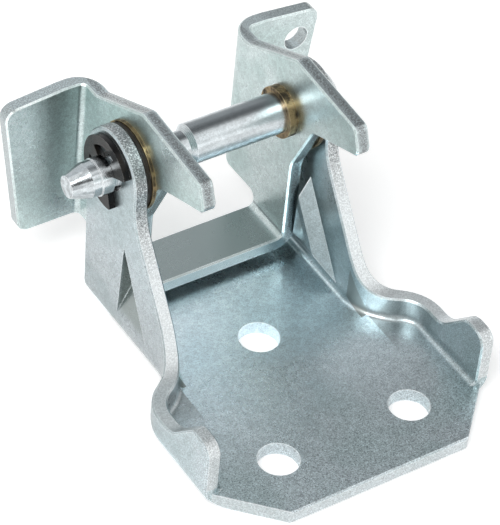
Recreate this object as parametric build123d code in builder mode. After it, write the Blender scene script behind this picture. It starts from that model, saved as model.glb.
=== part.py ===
"""Van door hinge: a pressed base bracket carries a pin, on which a U-shaped swing bracket turns.

Frame: X along the pin, nose end at -X. Y from the plate's front edge to the back. Z up.
Origin on the underside of the base plate, midway between the ears, straight below the pin axis.
"""
import os
from math import atan2, cos, radians, sin

from build123d import *

os.makedirs("parts", exist_ok=True)

# Pressed sheet
sheet = 4.5
bend_inside = 2.0
bend_outside = bend_inside + sheet
edge_chamfer = 0.5
rim_slant = 0.05

# Widths across the pin, as half widths from the middle
cheek_inside = 23.5
cheek_outside = cheek_inside + sheet
bush_flange = 1.15
washer_thickness = 1.15
end_float = 0.1
ear_inside = cheek_outside + bush_flange + washer_thickness + end_float
ear_outside = ear_inside + sheet
front_outside = 48.8

# Pin and its fits
pin_height = 57.5
body_diameter = 12.5
waist_diameter = 9.5
journal_diameter = 11.5
running_clearance = 0.04
head_diameter = 18.0
head_height = 3.5
head_chamfer = 1.2
body_end = -9.5
waist_length = 9.0
shoulder_chamfer = 1.5
nose_length = 14.5
nose_cone = 6.0
nose_tip_diameter = 6.8
nose_collar = 2.6
collar_drop = 0.35

# Bushes and thrust washers
bush_barrel_diameter = 16.0
bush_flange_diameter = 27.0
bush_stand_out = 2.7
bush_seat_clearance = 0.02
washer_diameter = 26.0
washer_bore_clearance = 0.15

# Retaining clip
clip_thickness = 2.0
clip_diameter = 23.4
clip_recess_diameter = 17.6
clip_groove_diameter = 9.0
clip_side_clearance = 0.1
clip_seat_clearance = 0.05
clip_mouth_angle = 96.0
clip_prong_angle = 34.0
clip_end_angle = 40.0
clip_mouth_direction = 203.0
clip_corner_round = 0.6

# Base plate, seen from above
plate_front = -96.0
plate_back = 11.0
front_edge_half = 30.0
corner_cut_inset = 2.6
flare_start = -30.0
flare_end = -54.0
bolt_hole_diameter = 12.5
rear_hole_x = -1.0
rear_hole_y = -33.0
front_hole_y = -77.0
front_hole_spacing = 45.0

# Base flanges, seen from the side
ear_radius = 13.3
ear_waist_drop = 9.0
ear_foot_y = -37.5
flange_low = 12.4
ear_waist_round = 20.0
ear_foot_round = 13.0
hump_length = 19.5
hump_top_length = 9.0
hump_height = 23.4
flange_front = -79.5
hump_foot_round = 8.0
hump_back_round = 5.0
hump_front_round = 4.5

# Stop pressed inward from each ear
stop_depth = 4.2
stop_bottom = 6.8
stop_height = 28.0
stop_length = 20.0
stop_apex_setback = 1.6
stop_back_lead = 0.2
stop_back_draft = 0.7
stop_ramp = 7.0
stop_crest_share = 0.48
stop_crest_bevel = 0.8
dent_back_offset = 1.5
dent_bottom = 8.6
dent_height = 27.0
dent_length = 16.0
dent_ramp = 10.0
dent_floor_share = 0.4

# Swing bracket, seen from the side and measured from the pin axis
web_clearance = 3.0
web_front = -6.5
web_back = 10.6
flange_face = 27.6
flange_lift = 4.5
cheek_relief_round = 2.0
shoulder_y = -3.5
shoulder_rise = 21.2
flange_top_rise = 9.5
arm_tip_y = -37.6
arm_tip_rise = 10.6
arm_top_y = -34.2
arm_top_rise = 19.0
arm_root_y = -15.2
arm_root_rise = 2.4
neck_rise = -16.5
arm_tip_round = 2.6
arm_root_round = 4.0
neck_round = 8.0
shoulder_round = 3.0

# Swing bracket flanges, seen from the back
flange_outside = 54.0
flange_foot_outside = 48.0
flange_top_drop = 2.0
flange_corner_round = 4.0
flange_bend_outside = 8.5
bend_lead = 2.5
slope_round = 6.0
flange_top_round = 20.0
flange_hole_diameter = 8.0
flange_hole_inset = 8.0
flange_hole_drop = 1.5

web_bottom = sheet + web_clearance
web_top = web_bottom + sheet
groove_end = ear_outside + clip_thickness + 2 * clip_side_clearance
work_height = pin_height + 2 * ear_radius
work_width = flange_outside + sheet


def side_plane(x):
    """Plane across the pin at x, with its own x along Y and its own y along Z."""
    return Plane(origin=(x, 0, 0), x_dir=(0, 1, 0), z_dir=(1, 0, 0))


def pressed_triangle(back, bottom, length, height):
    """Triangle of a pressed stop: upright at the back, sloping down to the front."""
    setback = stop_apex_setback * height / stop_height
    Polygon((back, bottom), (back - setback, bottom + height), (back - length, bottom), align=None)


def is_base_rim(face):
    """Whether a face of the base bracket's right half is a cut rim, not a broad face or a bend."""
    normal = face.normal_at()
    plate_face = face.center().Z < web_bottom and abs(normal.Z) > rim_slant
    return abs(normal.X) < rim_slant and not plate_face


def is_swing_rim(face):
    """Whether a face of the swing bracket's right half is a cut rim, not a broad face or a bend."""
    normal = face.normal_at()
    half = face.center().X
    flange_flat = abs(normal.Y) > 1 - rim_slant and half > cheek_outside
    web_flat = abs(normal.Z) > 1 - rim_slant and half < cheek_inside
    across = abs(normal.X) < rim_slant and not flange_flat and not web_flat
    flange_rim = abs(normal.Y) < rim_slant and half > cheek_outside + bend_inside
    return across or flange_rim


def rim_edges(rim_faces):
    """Edges on the right half where the cut rim of a sheet meets its broad faces."""
    edges = rim_faces.edges()
    outline = [e for e in edges if sum(e.is_same(other) for other in edges) == 1]
    return ShapeList(e for e in outline if e.center().X > edge_chamfer)


def flange_line(inset):
    """One face of a base side flange in plan, set in from its outer face, from the back to the front."""
    half_ear = ear_outside - inset
    half_front = front_outside - inset
    turn = 2 * atan2(front_outside - ear_outside, flare_start - flare_end)
    middle = (
        (ear_outside + front_outside) / 2 - inset * cos(turn),
        (flare_start + flare_end) / 2 - inset * sin(turn),
    )
    Line((half_ear, ear_radius), (half_ear, flare_start))
    first = TangentArc((half_ear, flare_start), middle, tangent=(0, -1))
    TangentArc(middle, (half_front, flare_end), tangent=first % 1)
    Polyline(
        (half_front, flare_end),
        (half_front, plate_front),
        (0, plate_front),
        (0, ear_radius),
        (half_ear, ear_radius),
    )


# Base bracket
with BuildPart() as base_bracket:
    with BuildSketch():
        with BuildLine():
            flange_line(0)
        make_face()
    extrude(amount=work_height)
    with BuildSketch(Plane.XY.offset(sheet)):
        with BuildLine():
            flange_line(sheet)
        make_face()
    extrude(amount=work_height, mode=Mode.SUBTRACT)

    # Bend between plate and flange, inside and outside
    inner_bend = (
        base_bracket.edges()
        .filter_by_position(Axis.Z, sheet, sheet)
        .filter_by_position(Axis.X, ear_inside - sheet / 2, front_outside - sheet / 2)
    )
    fillet(inner_bend, bend_inside)
    outer_bend = (
        base_bracket.edges()
        .filter_by_position(Axis.Z, 0, 0)
        .filter_by_position(Axis.X, ear_outside - sheet / 2, front_outside)
    )
    fillet(outer_bend, bend_outside)

    # Ear, low stretch and front hump, as the flange is trimmed in side view
    with BuildSketch(side_plane(0)):
        with BuildLine():
            RadiusArc((ear_radius, pin_height), (-ear_radius, pin_height), -ear_radius)
            FilletPolyline(
                (-ear_radius, pin_height),
                (-ear_radius, pin_height - ear_waist_drop),
                (ear_foot_y, flange_low),
                (flange_front + hump_length, flange_low),
                (flange_front + hump_top_length, hump_height),
                (flange_front, hump_height),
                (flange_front, sheet),
                radius=[ear_waist_round, ear_foot_round, hump_foot_round, hump_back_round, hump_front_round],
            )
            Polyline(
                (flange_front, sheet),
                (plate_front, sheet),
                (plate_front, 0),
                (plate_back, 0),
                (ear_radius, pin_height),
            )
        make_face()
    extrude(amount=work_width, mode=Mode.INTERSECT)

    # Front corners cut off
    with BuildSketch():
        with BuildLine():
            Polyline(
                (front_outside, flange_front),
                (front_outside - corner_cut_inset, flange_front),
                (front_edge_half, plate_front),
                (front_outside, plate_front),
                close=True,
            )
        make_face()
    extrude(amount=sheet, mode=Mode.SUBTRACT)

    # Cut rims softened, apart from the notch where the flange meets the corner cut
    base_rim = rim_edges(base_bracket.faces().filter_by(is_base_rim))
    flange_end = base_rim.filter_by_position(Axis.Y, flange_front, flange_front)
    notch = flange_end.filter_by_position(Axis.Z, 0, sheet + edge_chamfer).filter_by(GeomType.LINE)
    chamfer([e for e in base_rim if e not in notch], edge_chamfer)

    # Stop pressed into the ear: raised inside, hollow outside, each rising in a ramp from its foot
    stop_back = web_front + stop_back_lead
    with BuildSketch(side_plane(ear_inside)):
        pressed_triangle(stop_back, stop_bottom, stop_length, stop_height)
    with BuildSketch(side_plane(ear_inside - stop_depth)):
        pressed_triangle(
            stop_back - stop_back_draft,
            stop_bottom + stop_ramp,
            stop_length * stop_crest_share,
            stop_height * stop_crest_share,
        )
    loft(ruled=True)
    crest = ear_inside - stop_depth
    chamfer(base_bracket.edges().filter_by_position(Axis.X, crest, crest), stop_crest_bevel)
    dent_back = stop_back - dent_back_offset
    with BuildSketch(side_plane(ear_outside)):
        pressed_triangle(dent_back, dent_bottom, dent_length, dent_height)
    with BuildSketch(side_plane(ear_outside - stop_depth)):
        pressed_triangle(
            dent_back - stop_back_draft,
            dent_bottom + dent_ramp,
            dent_length * dent_floor_share,
            dent_height * dent_floor_share,
        )
    loft(ruled=True, mode=Mode.SUBTRACT)
    mirror(about=Plane.YZ)

    # Bolt holes in the plate
    with BuildSketch():
        with Locations((rear_hole_x, rear_hole_y)):
            Circle(bolt_hole_diameter / 2)
        with Locations((0, front_hole_y)):
            with GridLocations(front_hole_spacing, 1, 2, 1):
                Circle(bolt_hole_diameter / 2)
    extrude(amount=sheet, mode=Mode.SUBTRACT)

    # Pin bores in the ears
    with BuildSketch(side_plane(ear_inside)):
        with Locations((0, pin_height)):
            Circle(body_diameter / 2 + running_clearance)
    extrude(amount=sheet, mode=Mode.SUBTRACT)
    with BuildSketch(side_plane(-ear_outside)):
        with Locations((0, pin_height)):
            Circle(journal_diameter / 2 + running_clearance)
    extrude(amount=sheet, mode=Mode.SUBTRACT)
base_bracket.part.label = "base_bracket"
export_step(base_bracket.part, "parts/base_bracket.step")

# Swing bracket
flange_top = pin_height + flange_top_rise
flange_low_edge = web_top + flange_lift
flange_back = flange_face + sheet
bend_reach = flange_bend_outside + bend_lead
bend_front = flange_back - bend_reach
with BuildPart() as swing_bracket:
    # Channel of web and cheek, seen from the back
    with BuildSketch(Plane.XZ.offset(-bend_front)):
        with BuildLine():
            FilletPolyline(
                (0, web_bottom),
                (cheek_outside, web_bottom),
                (cheek_outside, work_height),
                radius=bend_outside,
            )
            Line((cheek_outside, work_height), (cheek_inside, work_height))
            FilletPolyline(
                (cheek_inside, work_height),
                (cheek_inside, web_top),
                (0, web_top),
                radius=bend_inside,
            )
            Line((0, web_top), (0, web_bottom))
        make_face()
    extrude(amount=bend_front - arm_tip_y)

    # Flange turned outward behind the cheek, seen from above
    with BuildSketch(Plane.XY.offset(web_bottom)):
        with BuildLine():
            FilletPolyline(
                (cheek_outside, bend_front),
                (cheek_outside, flange_face),
                (flange_outside, flange_face),
                radius=bend_inside,
            )
            Line((flange_outside, flange_face), (flange_outside, flange_back))
            FilletPolyline(
                (flange_outside, flange_back),
                (cheek_inside, flange_back),
                (cheek_inside, bend_front),
                radius=flange_bend_outside,
            )
            Line((cheek_inside, bend_front), (cheek_outside, bend_front))
        make_face()
    extrude(amount=work_height - web_bottom)

    # Web, cheek and forward arm, as they are trimmed in side view
    with BuildSketch(side_plane(0)):
        with BuildLine():
            FilletPolyline(
                (web_back, web_bottom),
                (web_back, flange_low_edge),
                (flange_back, flange_low_edge),
                radius=cheek_relief_round,
            )
            Line((flange_back, flange_low_edge), (flange_back, flange_top))
            FilletPolyline(
                (flange_back, flange_top),
                (bend_front, flange_top),
                (shoulder_y, pin_height + shoulder_rise),
                (arm_top_y, pin_height + arm_top_rise),
                (arm_tip_y, pin_height + arm_tip_rise),
                (arm_root_y, pin_height + arm_root_rise),
                (web_front, pin_height + neck_rise),
                (web_front, web_bottom),
                radius=[
                    slope_round,
                    shoulder_round,
                    arm_tip_round,
                    arm_tip_round,
                    arm_root_round,
                    neck_round,
                ],
            )
            Line((web_front, web_bottom), (web_back, web_bottom))
        make_face()
    extrude(amount=work_width, mode=Mode.INTERSECT)

    # Flange outline, seen from the back
    with BuildSketch(Plane.XZ.offset(-flange_back)):
        with BuildLine():
            FilletPolyline(
                (cheek_outside, flange_low_edge),
                (flange_foot_outside, flange_low_edge),
                (flange_outside, flange_top - flange_top_drop),
                (cheek_inside + bend_reach, flange_top),
                (cheek_outside, flange_top),
                radius=[flange_corner_round, flange_corner_round, flange_top_round],
            )
            Polyline(
                (cheek_outside, flange_top),
                (cheek_outside, work_height),
                (0, work_height),
                (0, web_bottom),
                (cheek_outside, web_bottom),
                (cheek_outside, flange_low_edge),
            )
        make_face()
    extrude(amount=flange_back - arm_tip_y, mode=Mode.INTERSECT)

    # Cut rims softened
    chamfer(rim_edges(swing_bracket.faces().filter_by(is_swing_rim)), edge_chamfer)
    mirror(about=Plane.YZ)

    # Bush seats through both cheeks
    with BuildSketch(side_plane(-cheek_outside)):
        with Locations((0, pin_height)):
            Circle(bush_barrel_diameter / 2 + bush_seat_clearance)
    extrude(amount=2 * cheek_outside, mode=Mode.SUBTRACT)

    # Locating hole in the right flange
    with BuildSketch(Plane.XZ.offset(-flange_back)):
        with Locations((flange_outside - flange_hole_inset, pin_height - flange_hole_drop)):
            Circle(flange_hole_diameter / 2)
    extrude(amount=sheet, mode=Mode.SUBTRACT)
swing_bracket.part.label = "swing_bracket"
export_step(swing_bracket.part, "parts/swing_bracket.step")

# Hinge pin, turned about its axis
pin_plane = Plane(origin=(0, 0, pin_height), x_dir=(1, 0, 0), z_dir=(0, -1, 0))
nose_tip = -(ear_outside + nose_length)
collar_radius = journal_diameter / 2 - collar_drop
waist_start = body_end - waist_length
with BuildPart() as hinge_pin:
    with BuildSketch(pin_plane):
        with BuildLine():
            Polyline(
                (nose_tip, 0),
                (nose_tip, nose_tip_diameter / 2),
                (nose_tip + nose_cone, collar_radius),
                (nose_tip + nose_cone + nose_collar, collar_radius),
                (nose_tip + nose_cone + nose_collar + collar_drop, journal_diameter / 2),
                (-groove_end, journal_diameter / 2),
                (-groove_end, clip_groove_diameter / 2),
                (-ear_outside, clip_groove_diameter / 2),
                (-ear_outside, journal_diameter / 2),
                (waist_start - shoulder_chamfer, journal_diameter / 2),
                (waist_start, waist_diameter / 2),
                (body_end - shoulder_chamfer, waist_diameter / 2),
                (body_end, body_diameter / 2),
                (ear_outside, body_diameter / 2),
                (ear_outside, head_diameter / 2),
                (ear_outside + head_height, head_diameter / 2),
                (ear_outside + head_height, 0),
                close=True,
            )
        make_face()
    revolve(axis=Axis((0, 0, pin_height), (1, 0, 0)))
    head_rim = hinge_pin.edges().filter_by(GeomType.CIRCLE).group_by(Axis.X)[-1]
    chamfer(head_rim, head_chamfer)
hinge_pin.part.label = "hinge_pin"
export_step(hinge_pin.part, "parts/hinge_pin.step")


def wedge(start, end, mode):
    """Slice of the clip's face between two angles from its mouth, reaching past its rim."""
    middle = (start + end) / 2
    rays = [radians(clip_mouth_direction + a) for a in (start, middle, end)]
    Polygon((0, 0), *[(clip_diameter * cos(a), clip_diameter * sin(a)) for a in rays], align=None, mode=mode)


# Retaining clip: mouth toward the front, one middle prong and two end prongs on the groove
mouth_edge = clip_mouth_angle / 2
end_prong_edge = mouth_edge + clip_end_angle
clip_face = side_plane(-(ear_outside + clip_side_clearance + clip_thickness))
with BuildPart() as retaining_clip:
    with BuildSketch(clip_face):
        with Locations((0, pin_height)):
            Circle(clip_diameter / 2)
            Circle(clip_recess_diameter / 2, mode=Mode.SUBTRACT)
            wedge(-mouth_edge, mouth_edge, Mode.SUBTRACT)
    extrude(amount=clip_thickness)
    with BuildSketch(clip_face):
        with Locations((0, pin_height)):
            wedge(180 - clip_prong_angle / 2, 180 + clip_prong_angle / 2, Mode.ADD)
            wedge(mouth_edge, end_prong_edge, Mode.ADD)
            wedge(-end_prong_edge, -mouth_edge, Mode.ADD)
            Circle(clip_recess_diameter / 2 + clip_thickness / 2, mode=Mode.INTERSECT)
            Circle(clip_groove_diameter / 2 + clip_seat_clearance, mode=Mode.SUBTRACT)
    extrude(amount=clip_thickness)

    # Outer corners at the mouth
    corners = retaining_clip.edges().filter_by(Axis.X).sort_by_distance((0, 0, pin_height))
    fillet(corners[-2:], clip_corner_round)
retaining_clip.part.label = "retaining_clip"
export_step(retaining_clip.part, "parts/retaining_clip.step")


def ring(outer, inner):
    """Round washer face on the pin axis."""
    with Locations((0, pin_height)):
        Circle(outer)
        Circle(inner, mode=Mode.SUBTRACT)


# Bushes with their flanges outward, and the thrust washers between them and the ears
for hand, way, shaft_diameter in (("left", -1, journal_diameter), ("right", 1, body_diameter)):
    bore = shaft_diameter / 2 + running_clearance
    with BuildPart() as bush:
        with BuildSketch(side_plane(way * (cheek_inside - bush_stand_out))):
            ring(bush_barrel_diameter / 2, bore)
        extrude(amount=way * (sheet + bush_stand_out))
        with BuildSketch(side_plane(way * cheek_outside)):
            ring(bush_flange_diameter / 2, bore)
        extrude(amount=way * bush_flange)
    bush.part.label = hand + "_bush"
    export_step(bush.part, "parts/" + hand + "_bush.step")

    with BuildPart() as thrust_washer:
        with BuildSketch(side_plane(way * (ear_inside - washer_thickness))):
            ring(washer_diameter / 2, bore + washer_bore_clearance)
        extrude(amount=way * washer_thickness)
    thrust_washer.part.label = hand + "_thrust_washer"
    export_step(thrust_washer.part, "parts/" + hand + "_thrust_washer.step")
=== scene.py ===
import bpy
from mathutils import Matrix, Vector

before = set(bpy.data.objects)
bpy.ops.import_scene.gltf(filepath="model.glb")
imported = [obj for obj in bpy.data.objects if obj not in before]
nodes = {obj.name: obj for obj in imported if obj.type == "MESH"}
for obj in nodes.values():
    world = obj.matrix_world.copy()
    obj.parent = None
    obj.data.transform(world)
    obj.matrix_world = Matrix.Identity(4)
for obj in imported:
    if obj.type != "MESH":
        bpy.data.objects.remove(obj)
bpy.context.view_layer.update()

# Sizes that the finishes follow, in metres, as in the part
sheet = 0.0045
bend_outside = 0.0065
ear_inside = 0.0304
ear_outside = ear_inside + sheet
ear_slope = 0.67
hollow_front = -0.0433
hollow_top = 0.036
flange_front = -0.0795
plate_back = 0.011
cheek_inside = 0.0235
cheek_outside = cheek_inside + sheet
cheek_middle = (cheek_inside + cheek_outside) / 2
web_top = 0.012
flange_bend_outside = 0.0085

# Depth at which the painted shade in the hollows is full, width over which the painted shade on the web
# fades, and how far a mask keeps clear of the next face or edge
hollow_shade_depth = 0.0012
web_shade_fade = 0.004
face_margin = 0.0001
edge_margin = 0.0005

# Colours that the finishes share or change to
# Colour of the edges, partly rubbed zinc and partly a painted highlight
rubbed_zinc_highlight = (0.92, 0.96, 0.97, 1)
torn_steel = (0.22, 0.235, 0.24, 1)
# Painted reflection on the back of the plate
plate_rear_reflection_light = (0.75, 0.87, 0.92, 1)
plate_rear_reflection_tint = (0.63, 0.77, 0.83, 1)
# Painted shade low down on the outsides of the ears
ear_foot_shade_light = (0.39, 0.425, 0.44, 1)
ear_foot_shade_tint = (0.33, 0.38, 0.39, 1)
# Painted light on the upper front of the left flange
left_flange_painted_light = (0.84, 0.93, 0.92, 1)
left_flange_painted_tint = (0.72, 0.83, 0.82, 1)
white = (1, 1, 1, 1)
black = (0, 0, 0, 1)


# Node helpers

def new_group(name, inputs, outputs):
    """A shader group with its named inputs and outputs."""
    tree = bpy.data.node_groups.new(name, "ShaderNodeTree")
    for label, kind, value in inputs:
        made = tree.interface.new_socket(name=label, in_out="INPUT", socket_type="NodeSocket" + kind)
        made.default_value = value
    for label, kind in outputs:
        tree.interface.new_socket(name=label, in_out="OUTPUT", socket_type="NodeSocket" + kind)
    inlet = tree.nodes.new("NodeGroupInput")
    outlet = tree.nodes.new("NodeGroupOutput")
    return tree, inlet.outputs, outlet.inputs


def put(tree, kind, values=(), **settings):
    """A node with its settings and the values of its unlinked sockets."""
    node = tree.nodes.new("ShaderNode" + kind)
    for key, value in settings.items():
        setattr(node, key, value)
    for key, value in dict(values).items():
        node.inputs[key].default_value = value
    return node


def join(tree, *pairs):
    """Links given as (output, input)."""
    for start, end in pairs:
        tree.links.new(start, end)


def sums(tree, operation, *terms, clamp=False):
    """A Math node whose terms are sockets or numbers; gives its output."""
    node = put(tree, "Math", operation=operation, use_clamp=clamp)
    for place, term in enumerate(terms):
        if isinstance(term, (int, float)):
            node.inputs[place].default_value = term
        else:
            tree.links.new(term, node.inputs[place])
    return node.outputs[0]


def ramp(tree, value, low, high, start=0.0, end=1.0):
    """A smooth step from start to end while value goes from low to high."""
    limits = {"From Min": low, "From Max": high, "To Min": start, "To Max": end}
    node = put(tree, "MapRange", limits, interpolation_type="SMOOTHSTEP")
    tree.links.new(value, node.inputs["Value"])
    return node.outputs["Result"]


def blend_colour(tree, share, first, second, way="MIX"):
    """A colour mix; share, first and second are sockets or values."""
    node = put(tree, "Mix", data_type="RGBA", blend_type=way)
    inputs = {place.identifier: place for place in node.inputs}
    for name, term in (("Factor_Float", share), ("A_Color", first), ("B_Color", second)):
        if isinstance(term, (int, float, tuple)):
            inputs[name].default_value = term
        else:
            tree.links.new(term, inputs[name])
    return {place.identifier: place for place in node.outputs}["Result_Color"]


def lay_out(tree):
    """Nodes in columns, each to the left of what it feeds."""
    width = 220
    height = 180
    column = {node.name: 0 for node in tree.nodes}
    links = [(link.from_node.name, link.to_node.name) for link in tree.links]
    for _ in column:
        for start, end in links:
            column[start] = max(column[start], column[end] + 1)
    rows = {}
    for node in tree.nodes:
        place = column[node.name]
        rows[place] = rows.get(place, 0) + 1
        node.location = (-width * place, -height * rows[place])


# Effects that several finishes share

def make_edge_wear_and_highlight():
    """Edges brightened, partly wear by rubbing and partly a painted highlight: how far the surface turns
    within a small radius, broken up by noise.
    """
    tree, given, result = new_group(
        "edge_wear_and_highlight",
        [("Width", "Float", 0.0006), ("Breakup", "Float", 0.5)],
        [("Mask", "Float")],
    )
    rounded = put(tree, "Bevel", samples=6)
    flat = put(tree, "NewGeometry")
    turn = put(tree, "VectorMath", operation="DOT_PRODUCT")
    place = put(tree, "TexCoord")
    patches = put(tree, "TexNoise", {"Scale": 420.0, "Detail": 4.0, "Roughness": 0.6})
    join(
        tree,
        (given["Width"], rounded.inputs["Radius"]),
        (rounded.outputs["Normal"], turn.inputs[0]),
        (flat.outputs["Normal"], turn.inputs[1]),
        (place.outputs["Object"], patches.inputs["Vector"]),
    )
    sharp = sums(tree, "SUBTRACT", 1.0, turn.outputs["Value"])
    edge = ramp(tree, sharp, low=0.01, high=0.16)
    holes = ramp(tree, patches.outputs["Fac"], low=0.38, high=0.62)
    loss = sums(tree, "MULTIPLY", holes, given["Breakup"])
    kept = sums(tree, "SUBTRACT", 1.0, loss)
    mask = sums(tree, "MULTIPLY", edge, kept, clamp=True)
    join(tree, (mask, result["Mask"]))
    lay_out(tree)
    return tree


def make_plating_grain():
    """Zinc plating: cloudy passivation tints, small crystals and fine speckle."""
    tree, given, result = new_group(
        "plating_grain",
        [
            ("Light", "Color", (0.5, 0.55, 0.56, 1)),
            ("Tint", "Color", (0.35, 0.45, 0.45, 1)),
            ("Cloud Scale", "Float", 30.0),
            ("Speckle Scale", "Float", 2600.0),
            ("Speckle", "Float", 0.3),
        ],
        [("Color", "Color"), ("Roughness", "Float"), ("Height", "Float")],
    )
    place = put(tree, "TexCoord").outputs["Object"]
    clouds = put(tree, "TexNoise", {"Detail": 3.0, "Roughness": 0.55, "Distortion": 0.6})
    crystals = put(tree, "TexVoronoi", {"Scale": 780.0, "Randomness": 1.0})
    speckle = put(tree, "TexNoise", {"Detail": 2.0, "Roughness": 0.7})
    shade = put(tree, "SeparateColor")
    join(
        tree,
        (place, clouds.inputs["Vector"]),
        (place, crystals.inputs["Vector"]),
        (place, speckle.inputs["Vector"]),
        (given["Cloud Scale"], clouds.inputs["Scale"]),
        (given["Speckle Scale"], speckle.inputs["Scale"]),
        (crystals.outputs["Color"], shade.inputs["Color"]),
    )
    cloud = ramp(tree, clouds.outputs["Fac"], low=0.36, high=0.66)
    base = blend_colour(tree, cloud, given["Light"], given["Tint"])
    crystal = ramp(tree, shade.outputs["Red"], low=0.0, high=1.0, start=0.93, end=1.07)
    grain = sums(tree, "SUBTRACT", speckle.outputs["Fac"], 0.5)
    grain = sums(tree, "MULTIPLY", grain, given["Speckle"])
    grain = sums(tree, "MULTIPLY_ADD", grain, 4.0, 1.0)
    level = sums(tree, "MULTIPLY", crystal, grain)
    tone = put(tree, "CombineColor")
    join(tree, *[(level, channel) for channel in tone.inputs])
    colour = blend_colour(tree, 1.0, base, tone.outputs["Color"], "MULTIPLY")
    rough = sums(tree, "MULTIPLY_ADD", cloud, 0.08, 0.24)
    rough = sums(tree, "MULTIPLY_ADD", shade.outputs["Green"], 0.06, rough)
    height = sums(tree, "MULTIPLY_ADD", shade.outputs["Blue"], 0.35, speckle.outputs["Fac"])
    join(tree, (colour, result["Color"]), (rough, result["Roughness"]), (height, result["Height"]))
    lay_out(tree)
    return tree


def make_cut_rim():
    """Sheared edge of the sheet under its plating: bright, with coarse grain and pits."""
    tree, given, result = new_group(
        "cut_rim",
        [
            ("Color", "Color", (0.6, 0.65, 0.66, 1)),
            ("Roughness", "Float", 0.3),
            ("Rim Color", "Color", (0.85, 0.88, 0.89, 1)),
            ("Rim Roughness", "Float", 0.4),
            ("Grain", "Float", 0.4),
            ("Mask", "Float", 0.0),
        ],
        [("Color", "Color"), ("Roughness", "Float"), ("Height", "Float")],
    )
    place = put(tree, "TexCoord").outputs["Object"]
    torn = put(tree, "TexNoise", {"Scale": 2300.0, "Detail": 3.0, "Roughness": 0.7})
    pits = put(tree, "TexVoronoi", {"Scale": 1500.0, "Randomness": 1.0})
    join(tree, (place, torn.inputs["Vector"]), (place, pits.inputs["Vector"]))
    dull = ramp(tree, torn.outputs["Fac"], low=0.36, high=0.68, start=1.0, end=0.0)
    pit = ramp(tree, pits.outputs["Distance"], low=0.08, high=0.26, start=0.7, end=0.0)
    loss = sums(tree, "MAXIMUM", dull, pit)
    loss = sums(tree, "MULTIPLY", loss, given["Grain"], clamp=True)
    torn_colour = blend_colour(tree, loss, given["Rim Color"], torn_steel)
    colour = blend_colour(tree, given["Mask"], given["Color"], torn_colour)
    change = sums(tree, "SUBTRACT", given["Rim Roughness"], given["Roughness"])
    rough = sums(tree, "MULTIPLY_ADD", given["Mask"], change, given["Roughness"])
    height = sums(tree, "MULTIPLY", torn.outputs["Fac"], given["Mask"])
    height = sums(tree, "MULTIPLY", height, given["Grain"])
    join(tree, (colour, result["Color"]), (rough, result["Roughness"]), (height, result["Height"]))
    lay_out(tree)
    return tree


def make_sheet_place():
    """Where a spot lies on its bracket, and which way the surface faces there.

    Half is the distance from the middle plane. Beside X, Y or Z is one where the surface lies along
    that axis, Level grows as it faces up or down, and Ahead is one where it faces the front.
    """
    places = ("Half", "Across", "Along", "Height")
    ways = ("Beside X", "Beside Y", "Beside Z", "Level", "Ahead")
    tree, _, result = new_group("sheet_place", [], [(label, "Float") for label in places + ways])
    place = put(tree, "TexCoord")
    spot = put(tree, "SeparateXYZ")
    way = put(tree, "SeparateXYZ")
    join(tree, (place.outputs["Object"], spot.inputs[0]), (place.outputs["Normal"], way.inputs[0]))
    for axis, label in (("X", "Across"), ("Y", "Along"), ("Z", "Height")):
        faced = sums(tree, "ABSOLUTE", way.outputs[axis])
        beside = ramp(tree, faced, low=0.3, high=0.45, start=1.0, end=0.0)
        join(tree, (spot.outputs[axis], result[label]), (beside, result["Beside " + axis]))
    half = sums(tree, "ABSOLUTE", spot.outputs["X"])
    level = sums(tree, "ABSOLUTE", way.outputs["Z"])
    ahead = sums(tree, "LESS_THAN", way.outputs["Y"], 0.0)
    join(tree, (half, result["Half"]), (level, result["Level"]), (ahead, result["Ahead"]))
    lay_out(tree)
    return tree


edge_wear_and_highlight = make_edge_wear_and_highlight()
plating_grain = make_plating_grain()
cut_rim = make_cut_rim()
sheet_place = make_sheet_place()


def use(tree, group, **values):
    """A shared effect placed in a material with its own values."""
    node = tree.nodes.new("ShaderNodeGroup")
    node.node_tree = group
    for key, value in values.items():
        node.inputs[key.replace("_", " ")].default_value = value
    return node


def new_finish(name):
    """A material with its surface shader, ready for nodes."""
    finish = bpy.data.materials.new(name)
    finish.use_nodes = True
    return finish, finish.node_tree, finish.node_tree.nodes["Principled BSDF"]


def dress(tree, shader, colour, rough, metallic, height, depth):
    """Colour, roughness and small relief brought to the surface shader; depth is in metres."""
    relief = put(tree, "Bump", {"Distance": depth, "Strength": 1.0})
    join(
        tree,
        (colour, shader.inputs["Base Color"]),
        (rough, shader.inputs["Roughness"]),
        (height, relief.inputs["Height"]),
        (relief.outputs["Normal"], shader.inputs["Normal"]),
    )
    shader.inputs["Metallic"].default_value = metallic
    lay_out(tree)


# Base bracket

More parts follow.
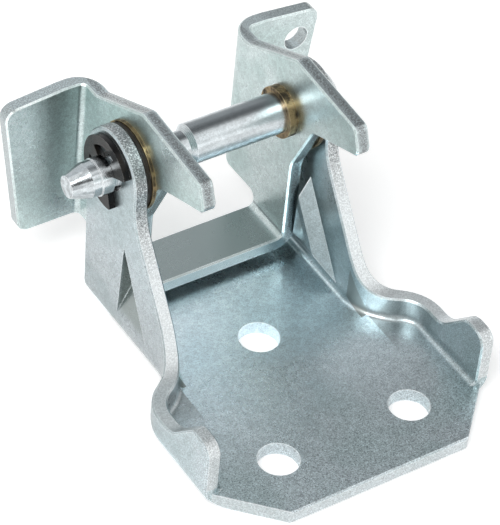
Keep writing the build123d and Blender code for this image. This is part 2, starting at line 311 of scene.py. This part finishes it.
def base_zones(tree, spot):
    """Masks of the painted shade in the hollows pressed into the ears and of the cut edges, and how torn
    those edges are.
    """
    slope = sums(tree, "MULTIPLY_ADD", spot["Height"], -ear_slope, spot["Along"])
    behind = sums(tree, "GREATER_THAN", slope, hollow_front)
    before_pin = sums(tree, "LESS_THAN", spot["Along"], 0.0)
    under = sums(tree, "LESS_THAN", spot["Height"], hollow_top)
    pressed = sums(tree, "MULTIPLY", sums(tree, "MULTIPLY", behind, before_pin), under)

    # Painted shade: the outer faces darken as they sink into the pressed hollows.
    floor_of_hollow = ear_outside - hollow_shade_depth
    deep = ramp(tree, spot["Half"], low=floor_of_hollow, high=ear_outside - face_margin, start=1.0, end=0.0)
    outer = sums(tree, "GREATER_THAN", spot["Half"], ear_inside + face_margin)
    painted_shade = sums(tree, "MULTIPLY", deep, sums(tree, "MULTIPLY", outer, pressed))

    raised = sums(tree, "GREATER_THAN", spot["Height"], bend_outside)
    flange = sums(tree, "MULTIPLY", raised, spot["Beside X"])
    front = sums(tree, "LESS_THAN", spot["Along"], flange_front)
    back = sums(tree, "GREATER_THAN", spot["Along"], plate_back - edge_margin)
    plate = sums(tree, "MULTIPLY", sums(tree, "ADD", front, back), spot["Beside Z"])
    plate = sums(tree, "MULTIPLY", plate, sums(tree, "LESS_THAN", spot["Height"], bend_outside))
    plate_share = 0.6
    rim = sums(tree, "MULTIPLY_ADD", plate, plate_share, flange, clamp=True)
    rim = sums(tree, "SUBTRACT", rim, pressed, clamp=True)

    up_ear = ramp(tree, spot["Height"], low=0.03, high=0.065, start=0.4, end=1.6)
    to_front = ramp(tree, spot["Along"], low=-0.07, high=-0.055, start=0.65, end=0.4)
    return painted_shade, rim, sums(tree, "MAXIMUM", up_ear, to_front)


def base_tones(tree, spot, light, tint):
    """The plate is coarser in speckle at the front, with a painted reflection that pales it towards the back;
    painted shade darkens the outsides of the ears low down.
    """
    speckle = ramp(tree, spot["Along"], low=-0.095, high=-0.04, start=0.75, end=0.3)
    # Painted reflection: the flat of the plate paler towards the back.
    rear = ramp(tree, spot["Along"], low=-0.075, high=-0.03)
    flat = ramp(tree, spot["Height"], low=sheet, high=bend_outside, start=1.0, end=0.0)
    painted_light = sums(tree, "MULTIPLY", rear, flat)
    # Painted shade: the outsides of the ears darker low down, towards the plate.
    outer = sums(tree, "GREATER_THAN", spot["Half"], ear_outside - sheet / 2)
    low_down = ramp(tree, spot["Height"], low=0.005, high=0.045, start=1.0, end=0.0)
    ear_length = ramp(tree, spot["Along"], low=-0.06, high=-0.045)
    painted_foot_shade = sums(tree, "MULTIPLY", sums(tree, "MULTIPLY", outer, low_down), ear_length)
    light = blend_colour(tree, painted_foot_shade, blend_colour(tree, painted_light, light, plate_rear_reflection_light), ear_foot_shade_light)
    tint = blend_colour(tree, painted_foot_shade, blend_colour(tree, painted_light, tint, plate_rear_reflection_tint), ear_foot_shade_tint)
    return {"Light": light, "Tint": tint, "Speckle": speckle}


# Swing bracket

def swing_zones(tree, spot):
    """Masks of the painted shade on the upper face of the web between the cheeks and of the cut edges, and
    how torn those edges are.
    """
    # Painted shade: the upper face of the web darker between the cheeks, fading towards them.
    between = ramp(tree, spot["Half"], low=cheek_inside - web_shade_fade, high=cheek_inside, start=1.0, end=0.0)
    low = sums(tree, "LESS_THAN", spot["Height"], web_top + edge_margin)
    painted_shade = sums(tree, "MULTIPLY", between, sums(tree, "MULTIPLY", low, spot["Level"]))

    cheek = sums(tree, "COMPARE", spot["Half"], cheek_middle, sheet / 2)
    cheek = sums(tree, "MULTIPLY", cheek, spot["Beside X"])
    web = sums(tree, "LESS_THAN", spot["Half"], cheek_inside)
    web = sums(tree, "MULTIPLY", web, spot["Beside Z"])
    flange = sums(tree, "GREATER_THAN", spot["Half"], cheek_inside + flange_bend_outside)
    flange = sums(tree, "MULTIPLY", flange, spot["Beside Y"])
    upper = sums(tree, "GREATER_THAN", spot["Height"], web_top + bend_outside)
    upper = sums(tree, "MULTIPLY", upper, ramp(tree, spot["Level"], low=0.75, high=0.85))
    cheek_rims = sums(tree, "MAXIMUM", cheek, web)
    flange_rims = sums(tree, "MAXIMUM", flange, upper)
    rim = sums(tree, "MAXIMUM", cheek_rims, flange_rims, clamp=True)

    off_middle = sums(tree, "ABSOLUTE", sums(tree, "SUBTRACT", spot["Half"], cheek_middle))
    core = ramp(tree, off_middle, low=0.1 * sheet, high=0.4 * sheet, start=1.3, end=0.15)
    to_back = ramp(tree, spot["Along"], low=-0.02, high=0.01, start=0.0, end=0.6)
    return painted_shade, rim, sums(tree, "MAXIMUM", core, to_back)


def swing_tones(tree, spot, light, tint):
    """On the front of the left flange a painted light pales the zinc towards the top."""
    # Painted light: paler towards the top on the front of the left flange.
    left = ramp(tree, spot["Across"], low=-0.042, high=-0.034, start=1.0, end=0.0)
    high = ramp(tree, spot["Height"], low=0.005, high=0.065)
    painted_light = sums(tree, "MULTIPLY", sums(tree, "MULTIPLY", left, high), spot["Ahead"])
    light = blend_colour(tree, painted_light, light, left_flange_painted_light)
    tint = blend_colour(tree, painted_light, tint, left_flange_painted_tint)
    return {"Light": light, "Tint": tint}


# Finishes

def zinc_plate(name, light, tint, painted_shade_colour, rim_colour, rim_roughness, zones, tones):
    """Bright zinc on pressed sheet: clouded broad faces, torn rims, painted shade in hollows, edges
    brightened by rubbing and by a painted highlight.
    """
    finish, tree, shader = new_finish(name)
    spot = use(tree, sheet_place).outputs
    grain = use(tree, plating_grain)
    rim = use(tree, cut_rim, Rim_Color=rim_colour, Rim_Roughness=rim_roughness)
    worn_and_highlit = use(tree, edge_wear_and_highlight, Width=0.0007, Breakup=0.45).outputs["Mask"]
    for label, tone in tones(tree, spot, light, tint).items():
        join(tree, (tone, grain.inputs[label]))
    painted_shade, cut, torn = zones(tree, spot)
    # Painted shade laid into the colour of the faces.
    faces = blend_colour(tree, painted_shade, grain.outputs["Color"], painted_shade_colour)
    join(
        tree,
        (faces, rim.inputs["Color"]),
        (grain.outputs["Roughness"], rim.inputs["Roughness"]),
        (cut, rim.inputs["Mask"]),
        (torn, rim.inputs["Grain"]),
    )
    # Edges brightened, partly by wear and partly by a painted highlight.
    colour = blend_colour(tree, worn_and_highlit, rim.outputs["Color"], rubbed_zinc_highlight)
    worn_smoother = -0.06
    rim_relief = 4.0
    rough = sums(tree, "MULTIPLY_ADD", worn_and_highlit, worn_smoother, rim.outputs["Roughness"])
    height = sums(tree, "MULTIPLY_ADD", rim.outputs["Height"], rim_relief, grain.outputs["Height"])
    dress(tree, shader, colour, rough, metallic=1.0, height=height, depth=0.00002)
    return finish


def turned_steel(name, light, tint, dark_reflection, rubbed_and_highlight):
    """Plated pin: fine turning rings, a painted dark reflection along its upper side, and painted dark
    reflections streaked along its length, strongest on the nose.
    """
    finish, tree, shader = new_finish(name)
    grain = use(tree, plating_grain, Light=light, Tint=tint, Speckle=0.15)
    worn_and_highlit = use(tree, edge_wear_and_highlight, Width=0.0005, Breakup=0.4).outputs["Mask"]
    place = put(tree, "TexCoord")
    rings = put(tree, "TexWave", {"Scale": 900.0, "Distortion": 0.6, "Detail": 2.0}, bands_direction="X")
    streak_stretch = put(tree, "Mapping", {"Scale": (60.0, 420.0, 420.0)})
    streaks = put(tree, "TexNoise", {"Scale": 1.0, "Detail": 2.0, "Roughness": 0.5})
    spot = put(tree, "SeparateXYZ")
    way = put(tree, "SeparateXYZ")
    join(
        tree,
        (place.outputs["Object"], rings.inputs["Vector"]),
        (place.outputs["Object"], streak_stretch.inputs["Vector"]),
        (streak_stretch.outputs["Vector"], streaks.inputs["Vector"]),
        (place.outputs["Object"], spot.inputs[0]),
        (place.outputs["Normal"], way.inputs[0]),
    )
    nose = sums(tree, "LESS_THAN", spot.outputs["X"], -ear_outside)
    body = sums(tree, "SUBTRACT", 1.0, nose)
    # Painted reflection: dark streaks along the axis, strong on the nose and faint on the body.
    painted_streaks = ramp(tree, streaks.outputs["Fac"], low=0.44, high=0.56)
    body_painted_streaks = 0.06
    nose_painted_streaks = 0.3
    painted_streaks = sums(tree, "MULTIPLY", painted_streaks, sums(tree, "MULTIPLY_ADD", nose, nose_painted_streaks, body_painted_streaks))
    # Painted reflection: the upper side of the body darker.
    painted_top_reflection = ramp(tree, way.outputs["Z"], low=0.85, high=0.98, start=0.0, end=0.75)
    painted_dark = sums(tree, "MAXIMUM", painted_streaks, sums(tree, "MULTIPLY", painted_top_reflection, body))
    base = blend_colour(tree, painted_dark, grain.outputs["Color"], dark_reflection)
    # Edges brightened, partly by wear and partly by a painted highlight.
    colour = blend_colour(tree, worn_and_highlit, base, rubbed_and_highlight)
    nose_smoother = -0.1
    rough = sums(tree, "MULTIPLY_ADD", rings.outputs["Fac"], 0.06, 0.24)
    rough = sums(tree, "MULTIPLY_ADD", nose, nose_smoother, rough)
    height = sums(tree, "MULTIPLY_ADD", rings.outputs["Fac"], 0.5, grain.outputs["Height"])
    dress(tree, shader, colour, rough, metallic=1.0, height=height, depth=0.00001)
    return finish


def blackened_steel(name, dark, brown, rubbed_and_highlight, gloss):
    """Oiled black steel with brownish stains, its edges thinly worn by rubbing and brightened by a painted
    highlight.
    """
    finish, tree, shader = new_finish(name)
    worn_and_highlit = use(tree, edge_wear_and_highlight, Width=0.0003, Breakup=0.9).outputs["Mask"]
    place = put(tree, "TexCoord").outputs["Object"]
    oil = put(tree, "TexNoise", {"Scale": 260.0, "Detail": 5.0, "Roughness": 0.6})
    fine = put(tree, "TexNoise", {"Scale": 2400.0, "Detail": 2.0})
    join(tree, (place, oil.inputs["Vector"]), (place, fine.inputs["Vector"]))
    shade = ramp(tree, oil.outputs["Fac"], low=0.35, high=0.7)
    base = blend_colour(tree, shade, dark, brown)
    # Edges brightened, partly by wear and partly by a painted highlight.
    colour = blend_colour(tree, worn_and_highlit, base, rubbed_and_highlight)
    rough = sums(tree, "MULTIPLY_ADD", shade, 0.15, gloss)
    shader.inputs["Specular IOR Level"].default_value = 0.2
    dress(tree, shader, colour, rough, metallic=0.0, height=fine.outputs["Fac"], depth=0.00001)
    return finish


def sintered_bronze(name, bright, stained, pore_colour, rubbed_and_highlight):
    """Porous olive bronze, stained with oil, its edges worn yellow by rubbing and given a painted glint."""
    finish, tree, shader = new_finish(name)
    worn_and_highlit = use(tree, edge_wear_and_highlight, Width=0.0004, Breakup=0.5).outputs["Mask"]
    place = put(tree, "TexCoord").outputs["Object"]
    pores = put(tree, "TexVoronoi", {"Scale": 2600.0, "Randomness": 1.0})
    dirt = put(tree, "TexNoise", {"Scale": 340.0, "Detail": 5.0, "Roughness": 0.65})
    join(tree, (place, pores.inputs["Vector"]), (place, dirt.inputs["Vector"]))
    solid = ramp(tree, pores.outputs["Distance"], low=0.08, high=0.32)
    stain = ramp(tree, dirt.outputs["Fac"], low=0.36, high=0.66)
    base = blend_colour(tree, solid, pore_colour, blend_colour(tree, stain, bright, stained))
    # Edges brightened to yellow, partly by wear and partly by a painted glint.
    colour = blend_colour(tree, worn_and_highlit, base, rubbed_and_highlight)
    rough = sums(tree, "MULTIPLY_ADD", stain, 0.2, 0.34)
    dress(tree, shader, colour, rough, metallic=0.9, height=solid, depth=0.00003)
    return finish


def coat(finish, *names):
    """Pieces given a finish."""
    for name in names:
        nodes[name].data.materials.clear()
        nodes[name].data.materials.append(finish)


zinc_base = zinc_plate(
    "zinc_base",
    light=(0.49, 0.55, 0.575, 1),
    tint=(0.4, 0.475, 0.49, 1),
    # colour of the painted shade in the hollows of the ears
    painted_shade_colour=(0.3, 0.335, 0.33, 1),
    rim_colour=(0.78, 0.82, 0.83, 1),
    rim_roughness=0.4,
    zones=base_zones,
    tones=base_tones,
)
zinc_swing = zinc_plate(
    "zinc_swing",
    light=(0.575, 0.655, 0.655, 1),
    tint=(0.46, 0.565, 0.555, 1),
    # colour of the painted shade on the upper face of the web
    painted_shade_colour=(0.3, 0.345, 0.345, 1),
    rim_colour=(0.5, 0.565, 0.575, 1),
    rim_roughness=0.18,
    zones=swing_zones,
    tones=swing_tones,
)
pin_steel = turned_steel(
    "pin_steel",
    light=(0.66, 0.7, 0.72, 1),
    tint=(0.54, 0.59, 0.61, 1),
    # colour of the painted dark reflections
    dark_reflection=(0.1, 0.112, 0.12, 1),
    rubbed_and_highlight=(0.9, 0.92, 0.93, 1),
)
black_clip = blackened_steel(
    "black_clip",
    dark=(0.004, 0.004, 0.005, 1),
    brown=(0.012, 0.01, 0.008, 1),
    rubbed_and_highlight=(0.16, 0.155, 0.15, 1),
    gloss=0.1,
)
# The washers' near-black is partly their oiled steel and partly painted shade for the dark gap between ear
# and bush.
dark_washer = blackened_steel(
    "dark_washer",
    dark=(0.012, 0.011, 0.01, 1),
    brown=(0.035, 0.028, 0.02, 1),
    rubbed_and_highlight=(0.16, 0.155, 0.15, 1),
    gloss=0.35,
)
bronze = sintered_bronze(
    "bronze",
    bright=(0.3, 0.215, 0.11, 1),
    stained=(0.045, 0.036, 0.024, 1),
    pore_colour=(0.02, 0.018, 0.013, 1),
    rubbed_and_highlight=(0.55, 0.42, 0.24, 1),
)
coat(zinc_base, "base_bracket")
coat(zinc_swing, "swing_bracket")
coat(pin_steel, "hinge_pin")
coat(black_clip, "retaining_clip")
coat(dark_washer, "left_thrust_washer", "right_thrust_washer")
coat(bronze, "left_bush", "right_bush")


# Studio

def seen(tree):
    """One for what the lens sees straight, in a reflection or through something clear."""
    path = put(tree, "LightPath")
    share = sums(tree, "MAXIMUM", path.outputs["Is Camera Ray"], path.outputs["Is Glossy Ray"])
    return sums(tree, "MAXIMUM", share, path.outputs["Is Transmission Ray"])


def square(name, half):
    """A flat square around the origin."""
    mesh = bpy.data.meshes.new(name)
    corners = [(-half, -half, 0), (half, -half, 0), (half, half, 0), (-half, half, 0)]
    mesh.from_pydata(corners, [], [(0, 1, 2, 3)])
    made = bpy.data.objects.new(name, mesh)
    bpy.context.scene.collection.objects.link(made)
    return made


def lay_floor():
    """Pale paper that glows up to white where it is seen, and still takes the shadow."""
    floor = square("floor", half=3.0)
    floor.location.z = -0.0002
    finish, tree, shader = new_finish("floor_paper")
    shader.inputs["Base Color"].default_value = (0.86, 0.86, 0.86, 1)
    shader.inputs["Roughness"].default_value = 0.9
    shader.inputs["Specular IOR Level"].default_value = 0.0
    shader.inputs["Emission Color"].default_value = white
    seen_glow = 0.42
    glow = sums(tree, "MULTIPLY", seen(tree), seen_glow)
    join(tree, (glow, shader.inputs["Emission Strength"]))
    lay_out(tree)
    floor.data.materials.append(finish)


def hang_card(name, toward, half, near, far):
    """A card a metre off, seen in reflections alone; its glow falls from near to far across it."""
    way = Vector(toward).normalized()
    card = square(name, half)
    card.location = way
    card.rotation_euler = way.to_track_quat("Z", "Y").to_euler()
    card.visible_camera = False
    card.visible_diffuse = False
    card.visible_shadow = False
    finish, tree, shader = new_finish(name)
    shader.inputs["Base Color"].default_value = black
    shader.inputs["Specular IOR Level"].default_value = 0.0
    shader.inputs["Emission Color"].default_value = (0.95, 0.98, 1.0, 1)
    spot = put(tree, "NewGeometry")
    glow_falls_along = (0.6, -0.8, 0.0)
    across = put(tree, "VectorMath", {1: glow_falls_along}, operation="DOT_PRODUCT")
    join(tree, (spot.outputs["Position"], across.inputs[0]))
    glow = ramp(tree, across.outputs["Value"], low=-0.3, high=0.0, start=near, end=far)
    join(tree, (glow, shader.inputs["Emission Strength"]))
    lay_out(tree)
    card.data.materials.append(finish)


def light_room():
    """A white room that lights the part at half of what the lens sees."""
    world = bpy.data.worlds.new("studio")
    bpy.context.scene.world = world
    world.use_nodes = True
    tree = world.node_tree
    sky = tree.nodes["Background"]
    sky.inputs["Color"].default_value = white
    room_light = 0.5
    strength = sums(tree, "MULTIPLY_ADD", seen(tree), 1.0 - room_light, room_light)
    join(tree, (strength, sky.inputs["Strength"]))
    lay_out(tree)


def hang_lamp(name, place, aim, size, power):
    """A soft rectangular lamp turned towards a spot on the part."""
    lamp = bpy.data.lights.new(name, "AREA")
    lamp.shape = "RECTANGLE"
    lamp.size, lamp.size_y = size
    lamp.energy = power
    made = bpy.data.objects.new(name, lamp)
    made.location = place
    made.rotation_euler = (Vector(aim) - Vector(place)).to_track_quat("-Z", "Y").to_euler()
    bpy.context.scene.collection.objects.link(made)


def set_camera():
    """The photograph's view: a long lens from the front left, above."""
    lens = bpy.data.cameras.new("camera")
    lens.sensor_fit = "HORIZONTAL"
    lens.sensor_width = 36.0
    lens.lens = 224.79
    lens.clip_start = 0.05
    lens.clip_end = 20.0
    camera = bpy.data.objects.new("camera", lens)
    stand = (-0.39568, -0.55606, 0.64629)
    right = Vector((0.84133, -0.53497, 0.07724))
    up = Vector((0.31998, 0.60811, 0.72651))
    back = right.cross(up)
    turn = Matrix((right, up, back)).transposed().to_4x4()
    camera.matrix_world = Matrix.Translation(stand) @ turn
    bpy.context.scene.collection.objects.link(camera)
    bpy.context.scene.camera = camera


lay_floor()
hang_card("grey_card", toward=(0.44, 0.59, 0.68), half=0.7, near=1.0, far=0.38)
hang_card("lens_card", toward=(-0.2, -0.7, 0.66), half=0.17, near=0.03, far=0.03)
light_room()
hang_lamp("key", place=(-0.55, -0.35, 0.9), aim=(0, -0.02, 0.03), size=(0.5, 0.5), power=6.0)
hang_lamp("fill", place=(0.7, -0.5, 0.7), aim=(0, -0.02, 0.03), size=(0.6, 0.4), power=0.4)
hang_lamp("front", place=(0.42, -0.86, 0.3), aim=(0, -0.04, 0.03), size=(0.5, 0.25), power=0.3)
set_camera()

bpy.context.scene.view_settings.view_transform = "Standard"
